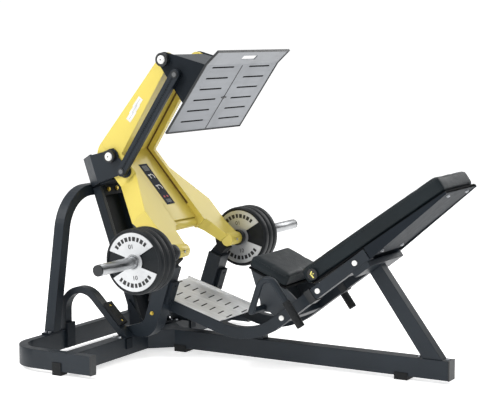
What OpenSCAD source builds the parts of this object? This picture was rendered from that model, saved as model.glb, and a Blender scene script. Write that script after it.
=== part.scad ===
// Plate-loaded leg press: a low steel base, a leaning head column with a four-bar press arm,
// a padded reclined seat and loose weight plates on two sleeves.
// Millimetres, Z up, floor at z = 0. +X runs from the column to the backrest, Y is across.
// Inside the modules x is measured from the resting sleeve axis; place() shifts it to the centre.

/* [Base] */
// height of the base tubes
base_tube_h = 82; // [76:1:88]
// clear height of the base tubes above the floor
foot_h = 17; // [12:1:22]
// outside width of the rear base tube
base_w = 1350; // [1250:10:1420]
// thickness of the bent rear tube
rear_tube_t = 38; // [34:1:44]
// outside corner radius of the bent rear tube
rear_corner_r = 150; // [120:5:180]
// wall of the base tubes
tube_wall = 3; // [2:0.5:5]

/* [Press arm] */
// distance between the two arm pivots
arm_len = 516; // [500:1:525]
// half width of the arm box
arm_half_w = 138; // [134:1:139]
// thickness of each arm flank
flank_t = 23; // [20:1:26]
// depth of the front panel behind the flank lips
panel_recess = 36; // [30:1:40]
// half width over the forks
fork_half_w = 268; // [264:1:269]
// radius of the pivot pins
pivot_r = 15; // [12:0.5:16]

/* [Sleeves and plates] */
// radius of the loading sleeve
sleeve_r = 24; // [23:0.1:24.4]
// distance from the centre to a sleeve end
sleeve_end = 825; // [790:5:860]
// radius of a weight plate
plate_r = 138; // [120:1:145]
// thickness of a weight plate
plate_t = 40; // [30:1:42]
// bore radius of a weight plate
plate_bore_r = 25.2; // [25:0.1:26]
// plates on each sleeve
plate_count = 3; // [1:1:3]
// position of the right stack, inner face
stack_right_y = 458; // [300:1:640]
// position of the left stack, inner face
stack_left_y = 296; // [296:1:640]

/* [Footplate] */
// half width of the footplate
footplate_half_w = 310; // [280:5:330]
// rows of grip slots
slot_rows = 6; // [4:1:6]
// length of a grip slot
slot_len = 180; // [120:5:190]

/* [Seat] */
// half width of both cushions
cushion_half_w = 165; // [150:1:175]
// thickness of the backrest cushion
back_t = 72; // [60:1:76]
// length of the backrest cushion
back_len = 752; // [700:2:756]
// thickness of the seat cushion
seat_t = 56; // [45:1:60]
// length of the seat cushion
seat_len = 205; // [180:1:215]

/* [Hidden] */
$fn = 72;
fit = 0.05;
x_mid = 298.25;
base_top = foot_h + base_tube_h;
half_w = base_w / 2;
rear_out = -600;
rear_in = rear_out + rear_tube_t;
arm_cut_x = -154;
cross_x0 = -300;
cross_x1 = -240;
beam_end = 1168;
beam_half = 30;

// pivots in the x-z plane
p_main = [-403, 879.5];
arm_dir = [0.547, 0.8371];
p_top = p_main + arm_len * arm_dir;
link_off = [71, -63];
p_low = p_main + link_off;
p_link = p_top + link_off;
boss_c = [0, 491];
side_in = arm_half_w + 3;
side_out = side_in + 8;
link_in = side_out + 9;
link_out = link_in + 20;
flank_in = arm_half_w - flank_t;

// front plane of the lower arm: origin at the knee, s down along it, d behind it
knee = [-354, 894];
s_dir = [0.669, -0.743];
d_dir = [-0.743, -0.669];
function arm_pt(s, d) = knee + s * s_dir + d * d_dir;

// station where the forks start to flare, clear of the head's ears
flare_s = 108;

// head column
tilt = 19.6;
up = [-sin(tilt), cos(tilt)];
across = [cos(tilt), sin(tilt)];
function head_pt(a, b) = p_main + a * across - b * up;

// rear arch, seen from behind
arch_x0 = -607;
arch_x1 = -556;
arch_pts = [[-367.6, 87], [-254, 716], [254, 716], [367.6, 87]];
// small side arches
step_pts = [[-579, 79], [-579, 428], [-230, 79]];
step_y = [242, 288];

// stop posts and the bumper faces that the sleeve bosses rest on
post_in = 167;
post_out = 240;
post_pts = [[-300, 92], [-150, 140], [-56, 424]];
post_tilt = atan2(post_pts[2][1] - post_pts[1][1], post_pts[2][0] - post_pts[1][0]);
bump_tilt = 46;
function post_top(w) = post_pts[2] + w * [sin(post_tilt), -cos(post_tilt)];
function bump_pt(t, n) = boss_c + t * [cos(bump_tilt), sin(bump_tilt)]
    + n * [-sin(bump_tilt), cos(bump_tilt)];

// rails
rail_h = 50;
rail_out = 167;
rail_in = 127;
rail_pts = [[-190, 269.2], [321, 118], [862, 535.4]];
rail_bend = 300;
rail_tilt = atan2(rail_pts[2][1] - rail_pts[1][1], rail_pts[2][0] - rail_pts[1][0]);
tread_slope = atan(0.296);

// backrest and seat planes
back_tilt = 35.4;
back_c = [620, 492];
back_u0 = -92;
back_u1 = back_u0 + back_len;
seat_tilt = -23;
seat_c = [320, 494];
foot_tilt = 55.7;
foot_c = [-7, 1002];
knee_v = 353;
lip_tilt = 42.5;
lip_len = 83;

// handles
handle_y = 246;
handle_r = 14;
handle_pts = [[371, 266], [435, 457], [604, 228]];
// plate faces end inside the rubber rim
face_r = plate_r * 0.89;

function unit(v) = v / norm(v);
function turn(a, b) = a[0] * b[1] - a[1] * b[0];
function left(u) = [-u[1], u[0]];
// rear and front outline directions of the upper arm
rear_n = unit(left(arm_dir) * 0.995 + arm_dir * 0.1007);
front_n = unit(-left(arm_dir) * 0.9998 + arm_dir * -0.0213);
function rail_pt(t, n) = let (u = unit(rail_pts[2] - rail_pts[1])) rail_pts[1] + t * u + n * left(u);
function rail_foot(t) = rail_pt(norm(rail_pts[2] - rail_pts[1]) + t, -49);
function bend_len(p, i, r) = r * tan(acos(unit(p[i] - p[i - 1]) * unit(p[i + 1] - p[i])) / 2);
function seg_a(p, r, i) = i == 0 ? p[0] : p[i] + unit(p[i + 1] - p[i]) * bend_len(p, i, r);
function seg_b(p, r, i) = i == len(p) - 2 ? p[i + 1]
    : p[i + 1] - unit(p[i + 1] - p[i]) * bend_len(p, i + 1, r);

module place() translate([-x_mid, 0, 0]) children();
module both() { children(); mirror([0, 1, 0]) children(); }
// x-z outline given thickness along y
module xz(y0, y1) translate([0, y1, 0]) rotate([90, 0, 0]) linear_extrude(y1 - y0) children();
// y-z outline given thickness along x
module yz(x0, x1) translate([x0, 0, 0]) rotate([90, 0, 90]) linear_extrude(x1 - x0) children();
module xy(z0, z1) translate([0, 0, z0]) linear_extrude(z1 - z0) children();
module box(a, b) translate(a) cube(b - a);
// cylinder along y at an x-z point
module rod_y(c, r, y0, y1) translate([c[0], y0, c[1]]) rotate([-90, 0, 0]) cylinder(r = r, h = y1 - y0);
// frame with x along a direction in the x-z plane, z square to it
module along(c, a) translate([c[0], 0, c[1]]) rotate([0, -a, 0]) children();

module strip2(a, b, w) {
    n = left(unit(b - a)) * w / 2;
    polygon([a + n, b + n, b - n, a - n]);
}
// points of one side of a bent bar, offset w to the left of the path
function arc_side(p, i, r, w) = let (u = unit(p[i] - p[i - 1]), v = unit(p[i + 1] - p[i]),
    s = sign(turn(u, v)), c = p[i] - u * bend_len(p, i, r) + s * left(u) * r, a = acos(u * v))
    [for (k = [0 : 14]) c + (r - s * w) * (-s) * left([cos(atan2(u[1], u[0]) + s * a * k / 14),
        sin(atan2(u[1], u[0]) + s * a * k / 14)])];
function bar_side(p, r, w) = concat([p[0] + w * left(unit(p[1] - p[0]))],
    [for (i = [1 : len(p) - 2]) each arc_side(p, i, r, w)],
    [p[len(p) - 1] + w * left(unit(p[len(p) - 1] - p[len(p) - 2]))]);
function flip(l) = [for (i = [len(l) - 1 : -1 : 0]) l[i]];
// flat bent bar of width w through points with one bend radius
module bar2(p, r, w) polygon(concat(bar_side(p, r, w / 2), flip(bar_side(p, r, -w / 2))));
// round rod of radius w through x-z points
module rod_route(p, r, w) {
    for (i = [0 : len(p) - 2]) {
        a = seg_a(p, r, i);
        b = seg_b(p, r, i);
        m = i == 0 ? 0 : 1;
        translate([a[0], 0, a[1]]) rotate([0, 90 - atan2(b[1] - a[1], b[0] - a[0]), 0])
            translate([0, 0, -m]) cylinder(r = w, h = norm(b - a) + m + (i == len(p) - 2 ? 0 : 1));
    }
    for (i = [1 : len(p) - 2]) {
        u = unit(p[i] - p[i - 1]);
        v = unit(p[i + 1] - p[i]);
        s = sign(turn(u, v));
        c = p[i] - u * bend_len(p, i, r) + s * left(u) * r;
        a0 = atan2(-s * left(u)[1], -s * left(u)[0]);
        sweep = acos(u * v);
        translate([c[0], 0, c[1]]) rotate([90, 0, 0]) rotate([0, 0, s > 0 ? a0 : a0 - sweep])
            rotate_extrude(angle = sweep) translate([r, 0]) circle(r = w + 0.15);
    }
}
module round_rect(x0, y0, x1, y1, r) {
    translate([x0 + r, y0]) square([x1 - x0 - 2 * r, y1 - y0]);
    translate([x0, y0 + r]) square([x1 - x0, y1 - y0 - 2 * r]);
    for (x = [x0 + r, x1 - r], y = [y0 + r, y1 - r]) translate([x, y]) circle(r = r);
}
module slot2(l, w) {
    square([l - w, w], center = true);
    for (s = [-1, 1]) translate([s * (l - w) / 2, 0]) circle(r = w / 2, $fn = 24);
}
// hexagon bolt head with washer, pointing up
module bolt(r, h) {
    cylinder(r = r * 1.45, h = 1.8);
    translate([0, 0, 1.8]) cylinder(r = r * 1.15, h = h, $fn = 6);
}
// eight-corner block from two quads
module block8(a, b) polyhedron(points = concat(a, b), faces = [[0, 1, 2, 3], [7, 6, 5, 4],
    [0, 4, 5, 1], [1, 5, 6, 2], [2, 6, 7, 3], [3, 7, 4, 0]]);

// ---------- base ----------
module base_outline(inset) difference() {
    round_rect(rear_out + inset, -half_w + inset, 200, half_w - inset, rear_corner_r - inset);
    round_rect(rear_in - inset, -half_w + rear_tube_t - inset, 260,
        half_w - rear_tube_t + inset, rear_corner_r - rear_tube_t + inset);
    translate([arm_cut_x, -half_w - 10]) square([500, base_w + 20]);
}
module rear_base_tube() color("#23262b") place() difference() {
    xy(foot_h, base_top) base_outline(0);
    xy(foot_h + tube_wall, base_top - tube_wall) base_outline(tube_wall);
}
module front_cross_tube() color("#23262b") place() difference() {
    y = half_w - rear_tube_t;
    box([cross_x0, -y, foot_h], [cross_x1, y, base_top]);
    box([cross_x0 + 3, -y - 1, foot_h + 3], [cross_x1 - 3, y + 1, base_top - 3]);
}
module main_beam() color("#23262b") place() {
    difference() {
        box([cross_x1, -beam_half, foot_h], [beam_end, beam_half, base_top]);
        box([cross_x1 - 1, -beam_half + 3, foot_h + 3], [beam_end + 1, beam_half - 3, base_top - 3]);
    }
    both() xy(foot_h, base_top) polygon([[cross_x1, beam_half], [-150, beam_half], [cross_x1, 115]]);
}
module end_caps() color("#101113") place() {
    both() box([arm_cut_x, half_w - rear_tube_t - 1, foot_h - 1], [arm_cut_x + 6, half_w + 1, base_top + 1]);
    box([beam_end, -beam_half - 1, foot_h - 1], [beam_end + 6, beam_half + 1, base_top + 1]);
    both() along(rail_pts[0], -16.5)
        box([-5, rail_in, -25], [0, rail_out, 25]);
}
module base_feet() color("#141517") place() {
    y0 = half_w - rear_tube_t;
    both() difference() {
        box([-345, y0 - 4, 0], [-300, half_w + 4, foot_h + 38]);
        box([-346, y0, foot_h], [-299, half_w, foot_h + 60]);
        box([-346, y0 - 5, foot_h + 8], [-299, y0 + 1, foot_h + 60]);
    }
    for (x = [-150, 930]) difference() {
        box([x, -beam_half - 4, 0], [x + 60, beam_half + 4, foot_h + 14]);
        box([x - 1, -beam_half, foot_h], [x + 61, beam_half, foot_h + 60]);
    }
}
module frame_bolts() color("#b9bcbe") place() {
    both() for (x = [-284, -256], y = [150, 310]) translate([x, y, base_top]) bolt(6, 5);
    for (x = [1030, 1162 - 8]) translate([x, 0, base_top]) bolt(6, 5);
    for (x = [250, 300, 860, 1080]) translate([x, 0, foot_h]) mirror([0, 0, 1]) bolt(6, 5);
    both() for (x = [-590, -568]) translate([x, 402, base_top + 8]) cylinder(r = 7, h = 6);
    both() for (u = [260, 630])
        along(back_pt(u, u < 400 ? -118.6 : -87), back_tilt + 4.8) translate([0, 100, 0])
            mirror([0, 0, 1]) bolt(6, 4);
}
// ---------- rear arch ----------
module rear_arch() color("#23262b") place() difference() {
    yz(arch_x0, arch_x1) bar2(arch_pts, 190, 50);
    yz(arch_x0 + tube_wall, arch_x1 - tube_wall) bar2(arch_pts, 190, 50 - 2 * tube_wall);
    box([arch_x0 - 1, -430, 40], [arch_x1 + 1, 430, base_top + 8]);
}
module base_brackets() color("#1c1e22") place() {
    both()
        box([arch_x0 + 7, 315, base_top], [arch_x1 + 1, 420, base_top + 8]);
    both() {
        box([rear_in, 236, foot_h + 4], [rear_in + 12, 294, base_top + 34]);
        box([cross_x1, 243, foot_h + 30], [cross_x1 + 6, 287, base_top - 6]);
    }
}
// ---------- small side arches ----------
module step_arches() color("#23262b") place() both() difference() {
    xz(step_y[0], step_y[1]) bar2(step_pts, 98, 30);
    xz(step_y[0] + tube_wall, step_y[1] - tube_wall) bar2(step_pts, 98, 30 - 2 * tube_wall);
    box([-700, step_y[0] - 1, 0], [-100, step_y[1] + 1, base_top]);
}
module step_pads() color("#0e0f10") place() both() along([-322, 178.5], -45) difference() {
    box([-64, step_y[0] - 1, 15], [58, step_y[1] + 3, 31]);
    for (x = [-45, 40]) translate([x, 265, 22]) cylinder(r = 8, h = 20);
}
module yellow_bolts() color("#c8a92a") place() {
    both() along([-322, 178.5], -45)
        for (x = [-45, 40]) translate([x, 265, 22]) cylinder(r = 6, h = 6);
    both()
        along(head_pt(-149, 120), tilt - 90) translate([0, 32, 0]) bolt(7, 6);
    both() {
        for (b = [[-132, 210], [-84, 366]]) translate([b[0], post_out, b[1]]) rotate([-90, 0, 0]) bolt(6, 5);
    }
}
// ---------- column and head ----------
module column_slice(a0, a1, y0, y1) xz(y0, y1) intersection() {
    polygon([head_pt(a0, 100), head_pt(a1, 100), head_pt(a1, 860), head_pt(a0, 860)]);
    translate([-700, base_top + 10]) square([700, 900]);
}
module column_flanges() color("#23262b") place() both() column_slice(-192, -150, 70, 90);
module column_web() color("#0d0e10") place() column_slice(-187, -178, -70, 70);
module column_plates() color("#1c1e22") place() {
    box([-352, -104, base_top], [-244, 104, base_top + 10]);
    both() xz(92, 100) polygon([[-345, 109], [-250, 109], [-352, 230]]);
    xz(-83, 83) polygon([head_pt(-187.5, 90), head_pt(-40, 90), head_pt(-40, 100), head_pt(-187.5, 100)]);
    xz(-side_in, side_in)
        polygon([head_pt(-106, 90), head_pt(-40, 90), head_pt(-40, 100), head_pt(-106, 100)]);
    xz(-69, 69) polygon([head_pt(-154, 101), head_pt(-149, 101), head_pt(-149, 146), head_pt(-154, 146)]);
    xz(-60, 60) polygon([[arch_x1, 722], [arch_x1, 692], head_pt(-187, 134), head_pt(-187, 103)]);
}
module head_side() difference() {
    union() {
        polygon([head_pt(-112, 92), head_pt(-112, -39), head_pt(-42, -32), head_pt(20, -32),
            head_pt(40, 92)]);
        translate(p_main) circle(r = 34);
    }
    translate(p_main) circle(r = pivot_r + fit);
}
module head_ear() difference() {
    union() {
        polygon([p_main + [0, 20], p_low + [26, 14], p_low + [16, -26], p_main + [0, -80]]);
        translate(p_low) circle(r = 30);
    }
    translate(p_main) circle(r = 30);
}
module head_bracket() color("#23262b") place() {
    xz(side_in, side_out) head_side();
    mirror([0, 1, 0]) xz(side_in, side_out) difference() {
        union() {
            head_side();
            head_ear();
        }
        translate(p_low) circle(r = 10 + fit);
    }
    difference() {
        along(p_main, tilt) xy(-92, 42)
            polygon([[-106, -side_out], [-112, -side_out], [-196, -88], [-196, 88], [-112, side_out],
                [-106, side_out], [-106, side_in], [-108.6, side_in], [-188, 84], [-188, -84],
                [-108.6, -side_in], [-106, -side_in]]);
        box([arch_x0 - 9, -200, 600], [arch_x1 + 0.5, 200, 741.5]);
    }
}
// ---------- pivots ----------
module pivot_pins() color("#8f9498") place() {
    both() rod_y(p_main, pivot_r, flank_in + 1, side_out + 4);
    mirror([0, 1, 0]) rod_y(p_low, 10, side_in, link_out + 3);
    both() difference() {
        rod_y(p_main, 19.8, side_out + 18, side_out + 23);
        rod_y(p_main, 4, side_out + 20, side_out + 24);
    }
}
module pivot_caps() color("#0f1012") place() {
    both() difference() {
        rod_y(p_main, 27, side_out, side_out + 22);
        rod_y(p_main, pivot_r + fit, side_out - 1, side_out + 4);
        rod_y(p_main, 20, side_out + 18, side_out + 23);
    }
    link_washer(p_low);
}
module carriage_pins() color("#8f9498") place() {
    both() rod_y(p_top, pivot_r, flank_in + 1, side_out + 4);
    mirror([0, 1, 0]) rod_y(p_link, 10, side_in, link_out + 3);
    both() difference() {
        rod_y(p_top, 19.8, side_out + 18, side_out + 23);
        rod_y(p_top, 4, side_out + 20, side_out + 24);
    }
}
module carriage_caps() color("#0f1012") place() {
    both() difference() {
        rod_y(p_top, 30, side_out, side_out + 22);
        rod_y(p_top, pivot_r + fit, side_out - 1, side_out + 4);
        rod_y(p_top, 20, side_out + 18, side_out + 23);
    }
    link_washer(p_link);
}
// ---------- press arm ----------
module flank_outline() {
    translate(p_top) circle(r = 31);
    intersection() {
        translate(p_main) circle(r = 85);
        polygon([p_main, p_main + 120 * rear_n, p_main + [-130, 0], p_main + [-130, -130],
            arm_pt(56, 130)]);
    }
    polygon([p_top + 31 * rear_n, p_main + 85 * rear_n, p_main, arm_pt(30, 105), arm_pt(flare_s, 105),
        arm_pt(flare_s, 0), knee, p_top + 23 * front_n, p_top]);
}
// cross-section corners of the fork at station s: inner and outer y, front and rear depth
function fork_quad(s, yi, yo, d0, d1) = [
    [arm_pt(s, d0)[0], yi, arm_pt(s, d0)[1]], [arm_pt(s, d1)[0], yi, arm_pt(s, d1)[1]],
    [arm_pt(s, d1)[0], yo, arm_pt(s, d1)[1]], [arm_pt(s, d0)[0], yo, arm_pt(s, d0)[1]]];
module fork_skin() {
    block8(fork_quad(flare_s, flank_in, arm_half_w, 0, 105), fork_quad(310, flank_in, fork_half_w, 0, 90));
    block8(fork_quad(310, flank_in, fork_half_w, 0, 90), fork_quad(412, flank_in, fork_half_w, 0, 64));
    block8(fork_quad(412, flank_in + 14, fork_half_w, 0, 64), fork_quad(438, 152, fork_half_w, 0, 58));
    block8(fork_quad(438, 152, fork_half_w, 0, 58), fork_quad(522, 178, fork_half_w, -12, 36));
}
module fork_pocket() {
    w = 7;
    block8(fork_quad(flare_s + 30, flank_in + w, arm_half_w + 11, w, 130),
        fork_quad(306, flank_in + w, fork_half_w - w, w, 130));
    block8(fork_quad(306, flank_in + w, fork_half_w - w, w, 130),
        fork_quad(404, flank_in + w, fork_half_w - w, w, 130));
    block8(fork_quad(404, 152 + w, fork_half_w - w, w, 130),
        fork_quad(470, 163 + w, fork_half_w - w, w, 130));
}
module one_flank() difference() {
    union() {
        xz(flank_in, arm_half_w) flank_outline();
        fork_skin();
        rod_y(boss_c, 29, 180, fork_half_w);
    }
    fork_pocket();
    for (p = [p_main, p_top]) rod_y(p, pivot_r + 5, flank_in - 1, arm_half_w + 1);
    rod_y(boss_c, 20, 186, fork_half_w + 1);
    translate([boss_c[0], 224, boss_c[1]]) rotate([0, 90, 0]) cylinder(r = 5.1, h = 40);
}
module arm_flank_right() color("#e8d23c") place() mirror([0, 1, 0]) one_flank();
module arm_flank_left() color("#e8d23c") place() one_flank();
function up_pt(t, n) = [knee[0] + t * 0.53 - n * 0.848, knee[1] + t * 0.848 + n * 0.53];
panel_knee = up_pt(-17, panel_recess);
panel_foot = arm_pt(372, panel_recess - 8);
module arm_panels() color("#dcc433") place() {
    xz(-flank_in, flank_in)
        polygon([up_pt(388, panel_recess), panel_knee, panel_foot, arm_pt(372, panel_recess - 3),
            up_pt(-20, panel_recess + 6), up_pt(388, panel_recess + 6)]);
    union() {
        a = p_top + 26 * rear_n - 60 * arm_dir;
        b = p_main + 76 * rear_n + 40 * arm_dir;
        xz(-flank_in, flank_in) polygon([a, b, b - 5 * rear_n, a - 5 * rear_n]);
        xz(-flank_in, flank_in) polygon([arm_pt(80, 88), arm_pt(330, 76), arm_pt(330, 81), arm_pt(80, 93)]);
    }
}
module arm_cross_tube() color("#e8d23c") place() difference() {
    rod_y([-139, 572], 22, -flank_in, flank_in);
    rod_y([-139, 572], 18.5, -flank_in - 1, flank_in + 1);
}
module arm_placard() color("#16181b") place()
    along(panel_knee, atan2(panel_foot[1] - panel_knee[1], panel_foot[0] - panel_knee[0]))
        box([85, -32, 0], [315, 32, 1.4]);
module arm_bushings() color("#b08d3a") place() both() for (p = [p_main, p_top]) difference() {
    union() {
        rod_y(p, pivot_r + 4.95, flank_in + 1, arm_half_w);
        rod_y(p, 25, arm_half_w, arm_half_w + 2.6);
    }
    rod_y(p, pivot_r + fit, flank_in, arm_half_w + 4);
}
module boss_screws() color("#b9bcbe") place() both() translate([boss_c[0] + 19.96, 224, boss_c[1]])
    rotate([0, 90, 0]) difference() {
        cylinder(r = 5, h = 12);
        translate([0, 0, 9]) cylinder(r = 2.6, h = 4, $fn = 6);
    }

// ---------- sleeves ----------
module sleeves() color("#c9cccd") place() both() {
    difference() {
        union() {
            rod_y(boss_c, 19.95, 186.5, 292);
            rod_y(boss_c, sleeve_r, 290, 600);
            rod_y(boss_c, sleeve_r - 0.8, 599, 604);
            rod_y(boss_c, sleeve_r, 603, sleeve_end - 8);
        }
        rod_y(boss_c, 12, 186, 260);
    }
}
module sleeve_collars() color("#121315") place() both() difference() {
    rod_y(boss_c, 36, fork_half_w, 290);
    rod_y(boss_c, 20, fork_half_w - 1, 291);
}
module sleeve_caps() color("#121315") place() both()
    rod_y(boss_c, sleeve_r - 0.5, sleeve_end - 8, sleeve_end);

// ---------- weight plates ----------
module plate_profile() polygon([[plate_bore_r, 4], [46, 4], [46, 6], [face_r, 6], [face_r + 1, 1.5],
    [face_r + 5, 0.3], [plate_r - 6, 1.5], [plate_r - 1.5, 7], [plate_r, 14], [plate_r, plate_t - 14],
    [plate_r - 1.5, plate_t - 7], [plate_r - 6, plate_t - 1.5], [face_r + 5, plate_t - 0.3],
    [face_r + 1, plate_t - 1.5], [face_r, plate_t - 6], [46, plate_t - 6], [46, plate_t - 4],
    [plate_bore_r, plate_t - 4]]);
// disc in the x-z plane from y0 towards +y
module plate_rubber(y0) translate([boss_c[0], y0, boss_c[1]]) rotate([-90, 0, 0])
    rotate_extrude() plate_profile();
module plate_face2() difference() {
    union() {
        difference() {
            circle(r = face_r - 0.5);
            for (s = [-1, 1])
                polygon([[s * 30, -22], [s * 120, -62], [s * 160, 0], [s * 120, 62], [s * 30, 22]]);
        }
        circle(r = 44);
    }
    circle(r = plate_bore_r + 1);
}
module plate_faces(y0) translate([boss_c[0], 0, boss_c[1]]) rotate([-90, 0, 0]) rotate([0, 0, -9]) {
    translate([0, 0, y0 + 1.5]) linear_extrude(2.5) plate_face2();
    translate([0, 0, y0 + plate_t - 4]) linear_extrude(2.5) plate_face2();
}
module plates_right() color("#17181a") place() for (i = [0 : plate_count - 1])
    plate_rubber(-stack_right_y - (i + 1) * plate_t);
module plate_faces_right() color("#cfd2d3") place() for (i = [0 : plate_count - 1])
    plate_faces(-stack_right_y - (i + 1) * plate_t);
module plates_left() color("#17181a") place() for (i = [0 : plate_count - 1])
    plate_rubber(stack_left_y + i * plate_t);
module plate_faces_left() color("#cfd2d3") place() for (i = [0 : plate_count - 1])
    plate_faces(stack_left_y + i * plate_t);

// ---------- link bar ----------
module link_bar() color("#1d2024") place() mirror([0, 1, 0]) difference() {
    union() {
        xz(link_in, link_out) {
            strip2(p_low, p_link, 45);
            for (p = [p_low, p_link]) translate(p) circle(r = 22.5);
        }
        for (p = [p_low, p_link]) rod_y(p, 20, side_out + 0.6, link_in);
    }
    for (p = [p_low, p_link]) rod_y(p, 10 + fit, side_out, link_out + 1);
}
module link_washer(p) mirror([0, 1, 0]) difference() {
    rod_y(p, 16, link_out + 0.4, link_out + 3);
    rod_y(p, 10 + fit, link_out, link_out + 4);
}
// ---------- footplate carriage ----------
function foot_pt(v, n) = foot_c + v * [cos(foot_tilt), sin(foot_tilt)]
    + n * [sin(foot_tilt), -cos(foot_tilt)];
module carriage_outline() difference() {
    union() {
        translate(p_top) circle(r = 33);
        polygon([p_top + [8, 32], foot_pt(322, -5), foot_pt(62, -5), p_top + [-27, -19]]);
    }
    translate(p_top) circle(r = pivot_r + fit);
}
module carriage_sides() color("#1d2024") place() {
    xz(side_in, side_out) carriage_outline();
    mirror([0, 1, 0]) xz(side_in, side_out) difference() {
        carriage_outline();
        translate(p_link) circle(r = 10 + fit);
    }
}
module carriage_cover() color("#3a3f45") place() xz(-side_in, side_in) {
    a = p_top + [30, 22];
    b = foot_pt(318, -5);
    polygon([a, b, foot_pt(313, -5), a + [-1, -4]]);
}
module carriage_ribs() color("#1d2024") place() {
    for (v = [90, 250]) along(foot_pt(v, 0), foot_tilt) box([0, -side_in, 5], [5, side_in, 48]);
    both() along(foot_pt(0, 0), foot_tilt) {
        box([60, side_in - 26, 5], [306, side_in, 10]);
    }
}
module slots_2d() for (i = [0 : slot_rows - 1], s = [-1, 1])
    translate([58 + 56 * i, s * 155]) rotate([0, 0, 90]) slot2(slot_len, 7);
function lip_pt(t, n) = foot_pt(knee_v, 0) + t * [cos(lip_tilt), sin(lip_tilt)]
    + n * [sin(lip_tilt), -cos(lip_tilt)];
function fold_pt(n) = foot_pt(knee_v - n * tan((foot_tilt - lip_tilt) / 2), n);
// bent sheet from the lower edge to the lip, n0 in front and n1 behind
module foot_sheet(edge, n0, n1) polygon([foot_pt(edge, n0), fold_pt(n0), lip_pt(lip_len - edge, n0),
    lip_pt(lip_len - edge, n1), fold_pt(n1), foot_pt(edge, n1)]);
module footplate() color("#c4c8ca") place() difference() {
    xz(6 - footplate_half_w, footplate_half_w - 6) foot_sheet(6, 0, -5);
    along(foot_pt(0, 0), foot_tilt) xy(-1, 8) slots_2d();
    along(lip_pt(0, 0), lip_tilt) box([28, -60, -1], [52, 60, 9]);
}
module footplate_frame() color("#101113") place() {
    both() xz(footplate_half_w - 6, footplate_half_w) foot_sheet(0, 2, -7);
    along(foot_pt(0, 0), foot_tilt)
        box([0, 1 - footplate_half_w, -2], [6, footplate_half_w - 1, 7]);
    along(lip_pt(0, 0), lip_tilt)
        box([lip_len - 6, 1 - footplate_half_w, -2], [lip_len, footplate_half_w - 1, 7]);
    along(foot_pt(0, 0), foot_tilt) box([8, -2, -1], [knee_v - 8, 2, 0]);
}
// ---------- stops ----------
module post_outline(w, inset) difference() {
    bar2([post_pts[0], post_pts[1], post_top(0) - inset * unit(post_pts[2] - post_pts[1])], 70, w);
    translate([-500, 0]) square([700, base_top - inset]);
    translate([-500, 0]) square([500 + cross_x0 + inset, 300]);
}
module stop_posts() color("#23262b") place() both() difference() {
    xz(post_in, post_out) post_outline(68, 0);
    xz(post_in + tube_wall, post_out - tube_wall) post_outline(68 - 2 * tube_wall, tube_wall);
}
module stop_bumpers() color("#0e0f10") place() both() along(boss_c, bump_tilt)
    box([-70, 180, -24], [-30.6, 236, 24]);
module post_brackets() color("#1c1e22") place() both() {
    xz(180, 236) polygon([post_top(-32), post_top(32), bump_pt(-70, -24), bump_pt(-70, 24)]);
    along([-97, 300], post_tilt) difference() {
        box([-34, 180, -52], [70, 232, -34]);
        for (x = [-16, 52]) translate([x, 206, -60]) cylinder(r = 5, h = 16);
    }
}
// ---------- seat frame ----------
module rail_outline(w) bar2(rail_pts, rail_bend, w);
module one_rail() difference() {
    xz(rail_in, rail_out) rail_outline(rail_h);
    xz(rail_in + 3, rail_out - 3) rail_outline(rail_h - 6);
}
module rail_right() color("#23262b") place() mirror([0, 1, 0]) one_rail();
module rail_left() color("#23262b") place() one_rail();
module cross_members() color("#1c1e22") place() {
    along(rail_pts[0], -16.5) box([4, -rail_in, -22], [44, rail_in, 18]);
    for (t = [201, 554]) along(rail_pt(t, 0), rail_tilt) box([-20, -rail_in, -22], [20, rail_in, 12]);
    xz(-30, 30) polygon([head_pt(-178, 548), head_pt(-178, 600), [-168, 238], [-168, 277]]);
    box([262, -rail_in, 124], [302, rail_in, 150]);
    box([262, -25, base_top], [302, 25, 126]);
    along(rail_pts[2], rail_tilt) box([-100, -rail_out, -49], [-14, rail_out, -25]);
}
module rail_caps() color("#e6e7e7") place() {
    for (p = [rail_pt(192, 0), rail_pt(405, 0), rail_pt(618, 0)], s = [-1, 1])
        rod_y(p, 11, s > 0 ? rail_out : -rail_out - 6, s > 0 ? rail_out + 6 : -rail_out);
}
module rail_sleeves() color("#0f1012") place() both() along(rail_pt(360, 0), rail_tilt) difference() {
    box([-16, rail_in - 4, -29], [16, rail_out + 4, 29]);
    box([-17, rail_in - fit, -25 - fit], [17, rail_out + fit, 25 + fit]);
}
module tread_plate() color("#c4c8ca") place() along([0, 243.3], -tread_slope) {
    difference() {
        box([-208, -163, -4], [176, 163, 0]);
        for (r = [-1, 1], i = [0 : 8]) translate([-192 + 44.5 * i, r * 66, -5])
            linear_extrude(8) rotate([0, 0, 96]) slot2(60, 7);
    }
    box([-208, 163, -4], [176, 166, 12]);
}
module rear_leg() color("#23262b") place() xz(-25, 25) intersection() {
    polygon([[805, 445], [1053, base_top], [1140, base_top], [854, 480]]);
    polygon([[700, base_top], [1200, base_top], rail_foot(60), rail_foot(-200)]);
}
// ---------- backrest ----------
function back_pt(u, n) = back_c + u * [cos(back_tilt), sin(back_tilt)]
    + n * [-sin(back_tilt), cos(back_tilt)];
module back_wings() color("#2a2d32") place() {
    both() xz(158, 166)
        polygon([back_pt(226, -76), back_pt(226, -129), back_pt(654, -87), back_pt(654, -76)]);
    xz(-158, 158)
        polygon([back_pt(228, -121), back_pt(652, -85), back_pt(652, -82), back_pt(228, -117)]);
}
module back_board() color("#111214") place() along(back_c, back_tilt)
    box([back_u0 + 24, -157, -back_t - 7], [back_u1 - 6, 157, -back_t]);
module back_cushion() color("#25282b") place() along(back_c, back_tilt) intersection() {
    translate([0, cushion_half_w, 0]) rotate([90, 0, 0]) linear_extrude(2 * cushion_half_w)
        round_rect(back_u0, -back_t, back_u1, 0, 16);
    translate([0, 0, -back_t - 1]) linear_extrude(back_t + 2)
        round_rect(back_u0, -cushion_half_w, back_u1, cushion_half_w, 14);
}
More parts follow.
